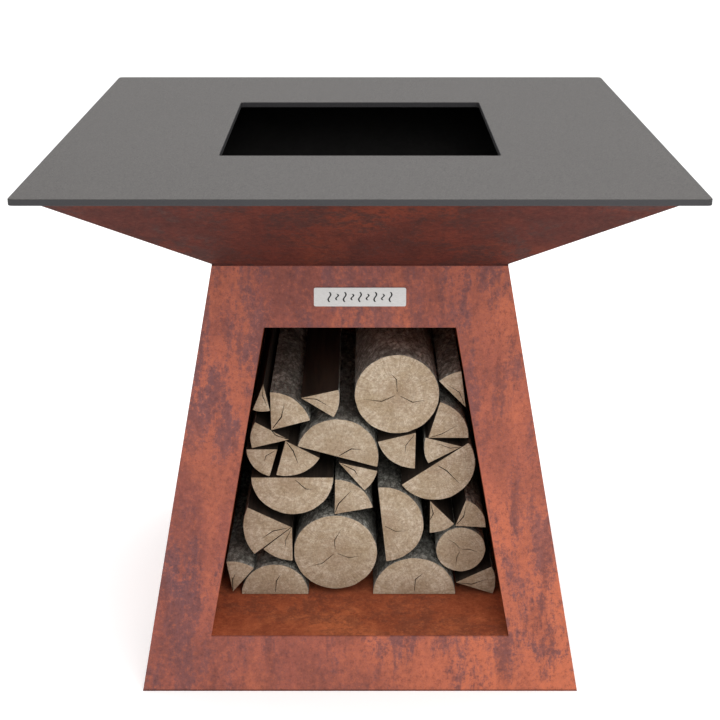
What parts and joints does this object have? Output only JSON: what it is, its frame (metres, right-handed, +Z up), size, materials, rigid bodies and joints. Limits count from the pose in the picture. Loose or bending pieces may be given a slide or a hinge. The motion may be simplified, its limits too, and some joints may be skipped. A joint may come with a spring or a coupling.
{
  "type": "fire pit with grate",
  "caption": "Square garden fire table: tapered rusted-steel stand with a firewood store, flared fire bowl, flat cooking plate round a fire hole, and a lift-out grate.",
  "frame": {"origin": "on the ground at the middle of the stand's foot", "axes": "+Z up; -Y is the front, where the wood store opens; +X to the right seen from the front"},
  "size_m": [1, 1, 0.905],
  "materials": {
    "corten": "matte",
    "plate_steel": "satin",
    "badge": "brushed",
    "fasteners": "brushed",
    "grate_steel": "matte",
    "firewood": "matte"
  },
  "bodies": {
    "stand": {"front_panel": "corten", "back_panel": "corten", "left_panel": "corten", "right_panel": "corten", "foot_bars": "corten", "stand_top_plate": "corten", "store_floor": "corten", "floor_ledges": "corten", "store_left_wall": "corten", "store_right_wall": "corten", "store_ceiling": "corten", "bowl_front_wall": "corten", "bowl_back_wall": "corten", "bowl_left_wall": "corten", "bowl_right_wall": "corten", "bowl_floor": "corten", "bowl_rim": "corten", "badge_plate": "badge", "bowl_bolts": "fasteners", "bolt_washers": "fasteners", "bolt_nuts": "fasteners"},
    "cooking_plate": {"cooking_plate": "plate_steel", "locating_lugs": "plate_steel"},
    "fire_grate": {"grate_frame": "grate_steel", "grate_legs": "grate_steel", "grate_rods": "grate_steel", "grate_handles": "grate_steel"},
    "firewood": {"log_01": "firewood", "log_02": "firewood", "log_03": "firewood", "log_04": "firewood", "log_05": "firewood", "log_06": "firewood", "log_07": "firewood", "log_08": "firewood", "log_09": "firewood", "log_10": "firewood", "log_11": "firewood", "log_12": "firewood", "log_13": "firewood", "log_14": "firewood", "log_15": "firewood", "log_16": "firewood", "log_17": "firewood", "log_18": "firewood", "log_19": "firewood", "log_20": "firewood", "log_21": "firewood", "log_22": "firewood", "log_23": "firewood", "log_24": "firewood", "log_25": "firewood", "log_26": "firewood", "log_27": "firewood"}
  },
  "joints": [
    {"name": "plate_lift", "type": "slide", "parent": "stand", "child": "cooking_plate", "axis": [0, 0, 1], "range_m": [0, 0.25]},
    {"name": "grate_lift", "type": "slide", "parent": "stand", "child": "fire_grate", "axis": [0, 0, 1], "range_m": [0, 0.25]},
    {"name": "firewood_out", "type": "slide", "parent": "stand", "child": "firewood", "axis": [0, -1, 0], "range_m": [0, 0.62]}
  ]
}
